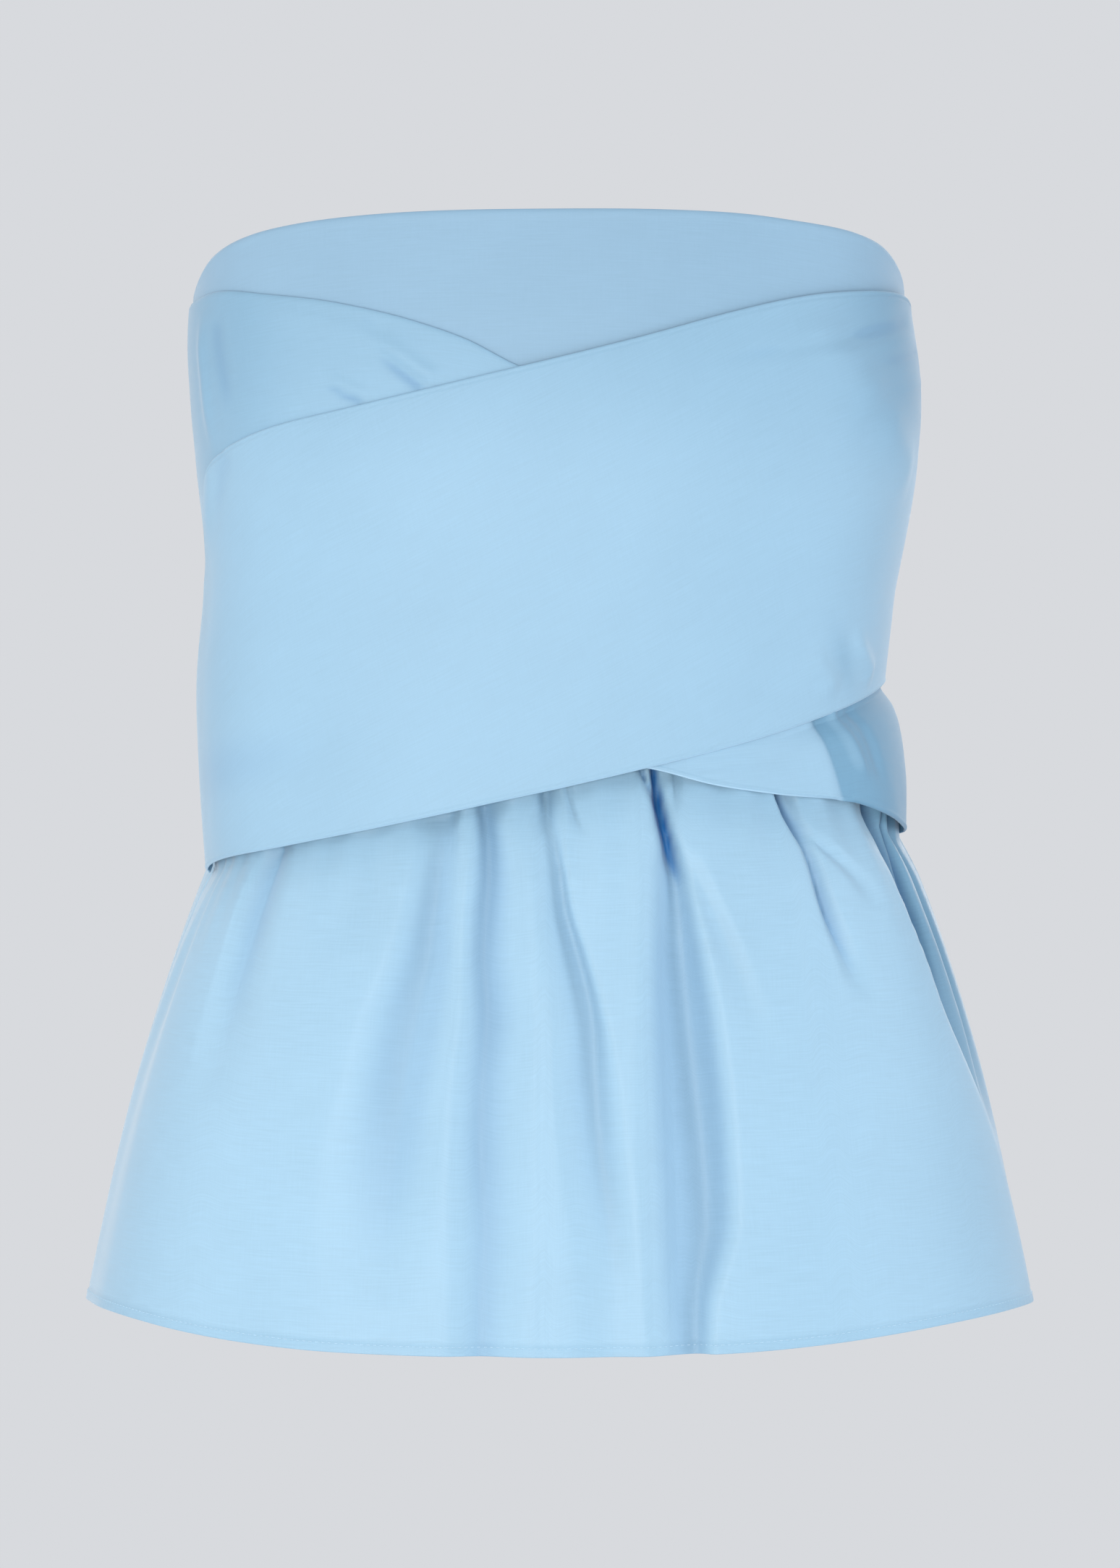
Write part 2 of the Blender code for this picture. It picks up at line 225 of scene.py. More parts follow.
clothFinish = {
    # One blue cloth throughout: the peplum's tint is set lighter than the wraps', painted light for its upward-facing
    # flare; the bandeau's tint is set darker
    "bodice": {"tint": (0.222, 0.370, 0.505), "slub": 0.03, "roughness": 0.55, "sheen": 0.25, "grain": 0.0},
    "wrap": {"tint": (0.258, 0.430, 0.574), "slub": 0.034, "roughness": 0.55, "sheen": 0.25, "grain": 0.24},
    "peplum": {"tint": (0.282, 0.462, 0.608), "slub": 0.045, "roughness": 0.45, "sheen": 0.3, "grain": 0.0},
}
# The three tints after the bump height paint shade into creases, shade onto turned-away cloth and a highlight along
# folded edges
weave = {"threadsPerMetre": 2600.0, "bumpHeight": 0.00006, "creaseShadeTint": (0.002, 0.12, 0.36), "shadeTint": (0.52, 0.66, 0.73),
         "highlightTint": (0.50, 0.74, 0.92), "blotch": 0.09}


def linkNodes(tree, pairs):
    for source, target in pairs:
        tree.links.new(source, target)


def mathNode(nodes, operation, a=None, b=None):
    node = nodes.new("ShaderNodeMath")
    node.operation = operation
    if a is not None:
        node.inputs[0].default_value = a
    if b is not None:
        node.inputs[1].default_value = b
    return node


def streaks(tree, uv, scale, detail):
    # Noise drawn out along the threads
    nodes = tree.nodes
    stretch = nodes.new("ShaderNodeMapping")
    stretch.inputs["Scale"].default_value = scale
    noise = nodes.new("ShaderNodeTexNoise")
    noise.inputs["Scale"].default_value = 1.0
    noise.inputs["Detail"].default_value = detail
    linkNodes(tree, [(uv, stretch.inputs["Vector"]), (stretch.outputs["Vector"], noise.inputs["Vector"])])
    return noise.outputs["Fac"]


def clothMaterial(name, finish):
    # Plain weave: warp and weft threads as two crossed sines, slub streaks along both, a soft blotch over all
    material = bpy.data.materials.new(name)
    material.use_nodes = True
    tree = material.node_tree
    nodes = tree.nodes
    shader = nodes["Principled BSDF"]
    uvNode = nodes.new("ShaderNodeUVMap")
    uvNode.uv_map = "clothMetres"
    turn = nodes.new("ShaderNodeMapping")
    turn.inputs["Rotation"].default_value = (0, 0, finish["grain"])
    tree.links.new(uvNode.outputs["UV"], turn.inputs["Vector"])
    uv = turn.outputs["Vector"]
    across = streaks(tree, uv, (60, 1500, 1), 3.0)
    downward = streaks(tree, uv, (1500, 70, 1), 3.0)
    blotch = streaks(tree, uv, (14, 18, 1), 2.0)
    split = nodes.new("ShaderNodeSeparateXYZ")
    tree.links.new(uv, split.inputs["Vector"])
    waves = []
    for axis in ("X", "Y"):
        turnRate = mathNode(nodes, "MULTIPLY", b=2 * math.pi * weave["threadsPerMetre"])
        wave = mathNode(nodes, "SINE")
        linkNodes(tree, [(split.outputs[axis], turnRate.inputs[0]), (turnRate.outputs[0], wave.inputs[0])])
        waves.append(wave)
    threads = mathNode(nodes, "MULTIPLY")
    linkNodes(tree, [(waves[0].outputs[0], threads.inputs[0]), (waves[1].outputs[0], threads.inputs[1])])

    # brightness = 1 + slub streaks + a wide faint blotch
    parts = []
    for source, weight in ((across, finish["slub"] * 4), (downward, finish["slub"] * 1.6), (blotch, weave["blotch"])):
        centred = mathNode(nodes, "SUBTRACT", b=0.5)
        scaled = mathNode(nodes, "MULTIPLY", b=weight)
        linkNodes(tree, [(source, centred.inputs[0]), (centred.outputs[0], scaled.inputs[0])])
        parts.append(scaled.outputs[0])
    total = mathNode(nodes, "ADD")
    linkNodes(tree, [(parts[0], total.inputs[0]), (parts[1], total.inputs[1])])
    total2 = mathNode(nodes, "ADD")
    linkNodes(tree, [(total.outputs[0], total2.inputs[0]), (parts[2], total2.inputs[1])])
    total3 = mathNode(nodes, "ADD", b=1.0)
    tree.links.new(total2.outputs[0], total3.inputs[0])
    shade = nodes.new("ShaderNodeVectorMath")
    shade.operation = "SCALE"
    shade.inputs[0].default_value = finish["tint"]
    tree.links.new(total3.outputs[0], shade.inputs["Scale"])

    # painted shade: where the cloth folds deep it is tinted a deeper, darker blue
    creaseShade = nodes.new("ShaderNodeAttribute")
    creaseShade.attribute_name = "paintedCreaseShade"
    blend = nodes.new("ShaderNodeMix")
    blend.data_type = "RGBA"
    blend.inputs["B"].default_value = (*weave["creaseShadeTint"], 1)
    linkNodes(tree, [(creaseShade.outputs["Fac"], blend.inputs["Factor"]), (shade.outputs["Vector"], blend.inputs["A"])])
    # painted shade: where cloth is turned away, lies under a fold or edge, and along the turned hem, its colour is
    # multiplied by a cooler, darker tint
    turned = nodes.new("ShaderNodeAttribute")
    turned.attribute_name = "paintedShade"
    dim = nodes.new("ShaderNodeMix")
    dim.data_type = "RGBA"
    dim.blend_type = "MULTIPLY"
    dim.inputs["B"].default_value = (*weave["shadeTint"], 1)
    # painted highlight: the wraps' folded lower edges are tinted lighter
    edge = nodes.new("ShaderNodeAttribute")
    edge.attribute_name = "paintedHighlight"
    lift = nodes.new("ShaderNodeMix")
    lift.data_type = "RGBA"
    lift.inputs["B"].default_value = (*weave["highlightTint"], 1)
    linkNodes(tree, [(turned.outputs["Fac"], dim.inputs["Factor"]), (blend.outputs["Result"], dim.inputs["A"]),
                     (edge.outputs["Fac"], lift.inputs["Factor"]), (dim.outputs["Result"], lift.inputs["A"]),
                     (lift.outputs["Result"], shader.inputs["Base Color"])])
    # roughness varies a little along the threads
    rough = nodes.new("ShaderNodeMapRange")
    rough.inputs["From Min"].default_value = 0.3
    rough.inputs["From Max"].default_value = 0.7
    rough.inputs["To Min"].default_value = finish["roughness"] - 0.05
    rough.inputs["To Max"].default_value = finish["roughness"] + 0.05
    linkNodes(tree, [(across, rough.inputs["Value"]), (rough.outputs["Result"], shader.inputs["Roughness"])])

    relief = mathNode(nodes, "MULTIPLY", b=0.5)
    tree.links.new(threads.outputs[0], relief.inputs[0])
    reliefSum = mathNode(nodes, "ADD")
    linkNodes(tree, [(relief.outputs[0], reliefSum.inputs[0]), (across, reliefSum.inputs[1])])
    bump = nodes.new("ShaderNodeBump")
    bump.inputs["Strength"].default_value = 0.5
    bump.inputs["Distance"].default_value = weave["bumpHeight"]
    linkNodes(tree, [(reliefSum.outputs[0], bump.inputs["Height"]), (bump.outputs["Normal"], shader.inputs["Normal"])])
    shader.inputs["Sheen Weight"].default_value = finish["sheen"]
    shader.inputs["Sheen Roughness"].default_value = 0.4
    shader.inputs["Specular IOR Level"].default_value = 0.35
    return material


clothPaints = {key: clothMaterial(key + "Cloth", finish) for key, finish in clothFinish.items()}
print("stage: cloth finishes")

# ---- sheets of cloth


def gridNormals(points):
    n = np.cross(np.gradient(points, axis=0), np.gradient(points, axis=1))
    return n / np.linalg.norm(n, axis=-1, keepdims=True)


def clothSheet(name, outer, thick, paint, marks=None):
    # Each column is one closed loop: down the outer face, round the lower edge, up the inner face, round the top
    rows, cols = outer.shape[:2]
    normal = gridNormals(outer)
    inner = outer - normal * thick
    middle = outer - normal * thick / 2
    down = np.gradient(outer, axis=0)
    down = down / np.linalg.norm(down, axis=-1, keepdims=True)
    turns = np.radians([45, 90, 135])[:, None, None]
    lowRim = middle[-1] + thick / 2 * (np.cos(turns) * normal[-1] + np.sin(turns) * down[-1])
    topRim = middle[0] - thick / 2 * (np.cos(turns) * normal[0] + np.sin(turns) * down[0])
    loop = np.concatenate([outer, lowRim, inner[::-1], topRim])
    count = loop.shape[0]
    index = np.arange(count * cols).reshape(count, cols)
    below = np.roll(index, -1, axis=0)
    wallFaces = np.stack([index[:, :-1], below[:, :-1], below[:, 1:], index[:, 1:]], axis=-1).reshape(-1, 4)
    outerRow = np.arange(rows - 1)
    innerRow = 2 * rows + 2 - outerRow
    endFaces = []
    for col, flip in ((0, False), (cols - 1, True)):
        quad = np.stack([index[outerRow, col], index[innerRow, col], index[innerRow - 1, col],
                         index[outerRow + 1, col]], axis=-1)
        endFaces.append(quad[:, ::-1] if flip else quad)
    verts = loop.reshape(-1, 3) / 1000
    faces = np.concatenate([wallFaces, *endFaces]).tolist()
    lowCap = [rows - 1, rows, rows + 1, rows + 2, rows + 3]
    topCap = [2 * rows + 2, 2 * rows + 3, 2 * rows + 4, 2 * rows + 5, 0]
    for cap in (lowCap, topCap):
        faces.append([int(index[i, 0]) for i in cap][::-1])
        faces.append([int(index[i, cols - 1]) for i in cap])
    mesh = bpy.data.meshes.new(name)
    mesh.from_pydata(verts.tolist(), [], faces)
    mesh.update()

    # cloth coordinates in metres: length along the rows and down the columns
    alongStep = np.linalg.norm(np.diff(outer, axis=1), axis=-1)
    downStep = np.linalg.norm(np.diff(outer, axis=0), axis=-1)
    u = np.concatenate([np.zeros((rows, 1)), np.cumsum(alongStep, axis=1)], axis=1)
    u = u - u[:, cols // 2, None]
    v = np.concatenate([np.zeros((1, cols)), np.cumsum(downStep, axis=0)], axis=0)
    flatGrid = np.stack([u, v], axis=-1) / 1000
    rim = np.ones((3, 1, 1))
    flatLoop = np.concatenate([flatGrid, rim * flatGrid[-1], flatGrid[::-1], rim * flatGrid[0]]).reshape(-1, 2)
    corner = np.zeros(len(mesh.loops), dtype=np.int32)
    mesh.loops.foreach_get("vertex_index", corner)
    layer = mesh.uv_layers.new(name="clothMetres")
    layer.data.foreach_set("uv", flatLoop[corner].astype(np.float32).ravel())
    rim = np.ones((3, 1))
    for key in ("paintedCreaseShade", "paintedShade", "paintedHighlight"):
        grid = (marks or {}).get(key, np.zeros((rows, cols)))
        around = np.concatenate([grid, rim * grid[-1], grid[::-1], rim * grid[0]]).ravel()
        mark = mesh.attributes.new(key, "FLOAT", "POINT")
        mark.data.foreach_set("value", around.astype(np.float32))
    mesh.polygons.foreach_set("use_smooth", np.ones(len(mesh.polygons), dtype=bool))
    mesh.materials.append(paint)
    piece = bpy.data.objects.new(name, mesh)
    bpy.context.scene.collection.objects.link(piece)
    return piece


def smoothRows(count, near, far):
    # Rows from 0 to 1, closer together towards the ends by the given amounts
    t = np.linspace(0, 1, count)
    return t - near * np.sin(2 * np.pi * t) / (2 * np.pi) + far * (t * t - t)


# ---- bandeau, front and back

bandeau = {
    "topEdge": {
        "phi": [-180, -130, -100, -90, -80, -67.5, -52, -42, -24, 0, 15, 29, 37, 55, 64, 75, 90, 100, 130, 180],
        "z":   [4, 1, -4, -6, -0.5, 9.2, 16.6, 19.5, 22.8, 24, 24, 22.8, 21.1, 17.1, 13.5, 5.7, -6, -5, 1, 4],
    },
    "cloth": 0.9,  # doubled cloth
    "seamAngle": 90.0,
    "columns": 260,
    "rows": 110,
    "hemFold": 9.0,  # depth of the turned facing at the top, inside
}


def seamGroove(phi):
    # Both side seams: a fine groove with a low swelling beside it
    toSeam = np.abs(np.abs(foldAngle(phi)) - 90) * bodyForm["mmPerDegree"]
    return 0.12 * np.exp(-((toSeam - 2.2) / 1.5)**2) - 0.35 * np.exp(-(toSeam / 0.8)**2)


def bandeauOut(phi, z):
    # On the body, drawn in towards the waist seam; the folded top edge rolls in
    depth = edgeAt(bandeau["topEdge"], phi) - z
    tuck = bodyForm["waistTuck"] * easeIn((-130 - z) / (-130 - bodyForm["waistZ"]))
    roll = 0.12 * np.exp(-((depth - 2.0) / 1.6)**2) - 0.5 * np.exp(-(depth / 0.7)**2)
    return roll + seamGroove(phi) - tuck


def bandeauSheet(name, first, last, node):
    phi = np.linspace(first, last, bandeau["columns"])[None, :]
    t = smoothRows(bandeau["rows"], 0.6, 0.0)[:, None]
    top = edgeAt(bandeau["topEdge"], phi)
    z = top + (bodyForm["waistZ"] - top) * t
    phi = np.broadcast_to(phi, z.shape)
    piece = clothSheet(name, bodyPoint(phi, z, bandeauOut(phi, z)), bandeau["cloth"], clothPaints["bodice"])
    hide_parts(node)
    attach(piece, "root")
    return piece


bandeauFront = bandeauSheet("bandeauFront", -bandeau["seamAngle"], bandeau["seamAngle"], "bodice_front")
bandeauBack = bandeauSheet("bandeauBack", 180 - bandeau["seamAngle"], 180 + bandeau["seamAngle"], "bodice_back")
print("stage: bandeau")

# ---- the two wraps

overWrap = {
    "top": {
        "phi": [-90, -79, -73, -68, -61, -53, -47, -28.4, -18.3, -4.8, 11, 25.4, 32.7, 40.3, 50.7, 62, 75, 90],
        "z":   [-130, -118, -91, -80.2, -74.3, -69.4, -66.3, -57.7, -51.6, -42.3, -30.4, -19.1, -14.4, -10.7,
                -7.8, -6.1, -6, -9],
    },
    "low": {
        "phi": [-90, -68, -46, -25.7, -15.2, -7, 5, 14.8, 28.5, 48.8, 62.8, 78, 90],
        "z":   [-253, -247.1, -241.3, -232.7, -226.8, -221.6, -214, -207.8, -199.3, -186.9, -179.6, -173.3, -170],
    },
    "cloth": 0.9,
    "columns": 320,
    "rows": 138,
    # start angle and height, end angle and height, half width, height of the fold, fades at both ends
    "pulls": [
        (78, -15, 15, -44, 3.4, -0.7, 0.15, 0.6),
        (80, -21, 12, -49, 2.6, 0.5, 0.15, 0.6),
        (66, -19, 21, -39, 2.4, -0.6, 0.2, 0.5),
        (84, -28, 40, -44, 3.0, -0.6, 0.15, 0.6),
        (86, -40, 52, -52, 3.4, 0.5, 0.15, 0.6),
        (34, -18, 60, -64, 13.0, 2.6, 0.3, 0.3),
        (54, -56, 76, -88, 12.0, 2.2, 0.35, 0.3),
        (43, -158, 54, -178, 6.0, 1.6, 0.4, 0.3),
        (56, -150, 69, -171, 5.5, 2.0, 0.4, 0.25),
        (-58, -72, -70, -112, 6.5, -0.45, 0.15, 0.6),
        (-66, -78, -78, -124, 6.0, 1.0, 0.15, 0.6),
        (-86, -215, -20, -196, 14.0, -0.6, 0.2, 0.7),
    ],
}
underWrap = {
    "top": {
        "phi": [-90, -75, -59, -47, -31.5, -18.7, -12, -4.8, 10, 30, 50, 66, 78, 90],
        "z":   [-9, -7.8, -6.4, -9.4, -14.8, -23.7, -30.9, -42.2, -50.5, -59.5, -68, -78, -96, -120],
    },
    "low": {
        "phi": [-90, -78, -63, -49, -28, -7, 5, 14.7, 25, 37, 56, 63, 75, 90],
        "z":   [-170, -173, -180, -187, -197, -203, -205.5, -208.5, -215, -219, -223, -226.7, -232, -236],
    },
    "swellSide": {"phi": [-90, 12, 20, 28, 40, 46, 51, 57, 66, 78, 90],
                  "part": [0, 0, 0, 0.06, 0.42, 0.76, 1.02, 1.14, 1.12, 1.06, 1]},
    "cornerLean": 0.26,  # degrees that the swelling's corner moves aside for each millimetre down
    "swellDown": {"mm": [0, 3, 6, 12, 19, 32, 57], "out": [0, 2.3, 4.7, 7.4, 9, 10.3, 9.6]},
    "cloth": 0.9,
    "columns": 300,
    "rowsAbove": 84,
    "rowsBelow": 44,
    "pulls": [
        (-27.5, -30, -18, -52.5, 2.2, -0.75, 0.6, 0.12),
        (-27, -26, -15.5, -49, 3.2, 1.8, 0.5, 0.2),
        (-29, -17, -22.5, -34, 2.6, -0.4, 0.4, 0.4),
        (-36, -46, -27.2, -57.5, 1.8, -0.7, 0.6, 0.12),
        (-36, -43, -26, -54.5, 2.2, 1.1, 0.5, 0.2),
        (-62, -14, -57, -64, 6.0, -0.4, 0.2, 0.4),
        (-69, -12, -66, -78, 5.0, 1.6, 0.3, 0.4),
        (-50, -12, -14, -38, 5.0, 0.7, 0.3, 0.3),
        (47.6, -184, 53.6, -224, 3.2, -1.8, 0.06, 0.1),
        (52.2, -182, 58.0, -216, 3.0, 1.5, 0.06, 0.3),
        (58.6, -182, 63.0, -218, 3.4, -1.2, 0.06, 0.4),
        (17, -208, 46, -204, 3.0, -0.6, 0.2, 0.6),
        (19, -205, 42, -196, 3.0, 0.5, 0.2, 0.6),
    ],
    "shadeFrom": 46.8,  # angle at which the lower end turns away, at the height below
    "shadeLean": 0.17,
    "shadeAt": -186.0,
}


def underSplit(phi):
    return np.maximum(edgeAt(overWrap["low"], phi) - 3, edgeAt(underWrap["low"], phi) + 20)


def swell(phi, z, side, lean):
    # The under-wrap swells out below the over-wrap's edge, over the gathers of the peplum
    drop = underWrap["swellDown"]
    across = np.minimum(foldAngle(phi) - lean * np.clip(underWrap["shadeAt"] - z, 0, 40), 90)
    part = smoothCurve(across, side["phi"], side["part"])
    return part * smoothCurve(underSplit(phi) - z, drop["mm"], drop["out"])


def topShade(phi, z):
    # Painted shade: both wraps a little darker towards the top, most at the right shoulder of the bust
    corner = easeIn((phi - 38) / 34) * easeIn((z + 96) / 50)
    return 0.3 * easeIn((z + 100) / 74) + 0.64 * corner


def dentShade(phi, z):
    # Painted shade of one oval dent above the over-wrap's lower edge, at the right, leaning down to the side
    across = (phi - 55) * 2.1 - (-163 - z) * 0.5
    return 0.32 * np.exp(-(across / 7)**2 - ((z + 163) / 12)**2)


def paintedEndShade(phi, z):
    # Painted shade beyond a leaning line, where the under-wrap's lower end turns away, with one lighter band along it
    below = np.clip(underWrap["shadeAt"] - z, -6, 50)
    beyond = phi - underWrap["shadeFrom"] - underWrap["shadeLean"] * below
    band = np.exp(-((beyond - 5.0) / 1.9)**2) * (1 - easeIn((below - 18) / 12))
    return 1.2 * easeIn(beyond / 1.6 + 0.5) * (1 - 0.4 * band) * (z < -150)


def wrapEdges(z, top, low, turning):
    # Folded edges: a narrow rolled rim above and below, and a fine groove at the turning under the top edge
    rim = np.exp(-((top - z) / 0.5)**2) + np.exp(-((z - low) / 0.5)**2)
    roll = np.exp(-((z - low - 1.1) / 0.6)**2)
    return -0.45 * rim + 0.3 * roll - turning * np.exp(-((top - z - 1.5) / 0.35)**2)


def wrapAngles(columns):
    # Even columns from side seam to side seam, closer together in the last degrees
    share = 8 / columns
    return np.interp(np.linspace(0, 1, columns), [0, share, 1 - share, 1], [-89.95, -88.0, 88.0, 89.95])[None, :]


def intoSeam(phi, z, out, stand):
    # Over its last millimetres a wrap's end comes down to the layer that the side seam holds it to
    toSeam = (90 - np.abs(phi)) * bodyForm["mmPerDegree"]
    onPeplum, _ = peplumOut(phi, z, frontFolds, "front")
    below = np.where(z > bodyForm["waistZ"], bandeauOut(phi, z), np.minimum(onPeplum, out - stand))
    return out + (below + stand - out) * (1 - easeIn(toSeam / 3.2))


def overWrapSheet():
    phi = wrapAngles(overWrap["columns"])
    t = smoothRows(overWrap["rows"], 0.55, 0.0)[:, None]
    top = edgeAt(overWrap["top"], phi)
    low = edgeAt(overWrap["low"], phi)
    z = top + (low - top) * t
    phi = np.broadcast_to(phi, z.shape)
    dents = pulls(phi, z, overWrap["pulls"])
    out = 2 * bodyForm["wrapLift"] + wrapEdges(z, top, low, 0.5) + dents
    out = intoSeam(phi, z, out, 2.1)
    # Painted shade: darker towards the top, at the right shoulder and in one dent, deeper blue in the pulls' troughs; a
    # painted highlight along the lower edge
    marks = {"paintedShade": topShade(phi, z) + dentShade(phi, z), "paintedCreaseShade": 0.11 * easeIn(-dents / 0.8), "paintedHighlight": 0.3 * np.exp(-((z - low) / 0.5)**2)}
    return clothSheet("overWrap", bodyPoint(phi, z, out), overWrap["cloth"], clothPaints["wrap"], marks)


def underWrapSheet():
    phi = wrapAngles(underWrap["columns"])
    top = edgeAt(underWrap["top"], phi)
    low = edgeAt(underWrap["low"], phi)
    split = underSplit(phi)
    above = top + (split - top) * smoothRows(underWrap["rowsAbove"], 0.4, 0.0)[:, None]
    below = split + (low - split) * smoothRows(underWrap["rowsBelow"], 0.5, 0.0)[1:, None]
    z = np.concatenate([above, below])
    phi = np.broadcast_to(phi, z.shape)
    out = bodyForm["wrapLift"] + swell(phi, z, underWrap["swellSide"], underWrap["cornerLean"])
    dents = pulls(phi, z, underWrap["pulls"])
    out = out + wrapEdges(z, top, low, 0.1) + dents
    out = intoSeam(phi, z, out, 1.05)
    # Painted shade: darker at the top and the upper left end, over the turned-away lower end and deeper blue in the
    # pulls' troughs; a painted highlight along the lower edge
    leftShade = 0.26 * easeIn((-phi - 34) / 20) * easeIn((z + 100) / 20)
    marks = {"paintedShade": np.maximum(paintedEndShade(phi, z), topShade(phi, z) + leftShade),
             "paintedCreaseShade": 0.3 * easeIn(-dents / 0.9) * (z > -150),
             "paintedHighlight": 0.5 * np.exp(-((z - low) / 0.5)**2) * (1 - easeIn((phi - 40) / 16))}
    return clothSheet("underWrap", bodyPoint(phi, z, out), underWrap["cloth"], clothPaints["wrap"], marks)


# ---- peplum, gathered to the waist seam

peplum = {
    "release": {
        "phi": [-180, -150, -120, -104, -90, -68, -46, -26, -15, -7, 5, 14.7, 25, 37, 56, 63, 90, 104, 118, 145, 180],
        "z":   [-204, -204, -211, -228, -250, -248, -242.6, -234, -228.4, -223.4, -216.4, -211.5, -216.8, -220.5,
                -224.8, -229, -238, -222, -210, -204, -204],
    },
    "standOut": {"phi": [-180, -135, -90, -45, 0, 45, 90, 135, 180], "mm": [44, 51, 55, 51, 43, 50, 55, 52, 44]},
    "flare": {
        "down": [0, 0.1, 0.2, 0.3, 0.4, 0.5, 0.6, 0.7, 0.8, 0.9, 1],
        "out":  [0, 0.155, 0.29, 0.41, 0.52, 0.62, 0.708, 0.787, 0.86, 0.932, 1],
    },
    "hem": {
        "phi": [-180, -135, -90, -80, -70, -60, -51, -43, -31, -12, 0, 13, 26, 36, 46, 57, 68, 78, 90, 135, 180],
        "z":   [-447, -443, -437.8, -437, -437.1, -438.9, -441.7, -444.2, -447.1, -448.8, -449, -448.7, -447.4,
                -445.1, -442.1, -438.9, -436.9, -436.3, -436.8, -443, -447],
    },
    "swellSide": {"phi": [-90, 12, 20, 28, 49, 63, 78, 90], "part": [0, 0, 0, 0.06, 0.42, 0.7, 0.95, 1]},
    "recessEdge": {"z": [-200, -229, -241, -250, -266, -278, -288, -312, -330, -350],
                   "phi": [60.2, 61.6, 62.2, 62.6, 63.2, 63.8, 64.6, 66.4, 69, 72]},
    "wrapClear": 0.7,
    "allowance": 3.0,  # runs this far up inside the bandeau
    "caughtIn": 0.7,
    "underEdgeShade": 0.3,
    "hemShade": 0.14,
    "cloth": 0.6,
    "columns": 330,
    "rows": 140,
    "gathers": 46,
    "gatherDepth": {"down": [0, 8, 22, 50, 95], "front": [0.7, 1.2, 1.3, 0.7, 0], "back": [1.1, 2.2, 1.9, 0.9, 0]},
    "hemTurn": 4.6,  # width of the turned hem
}
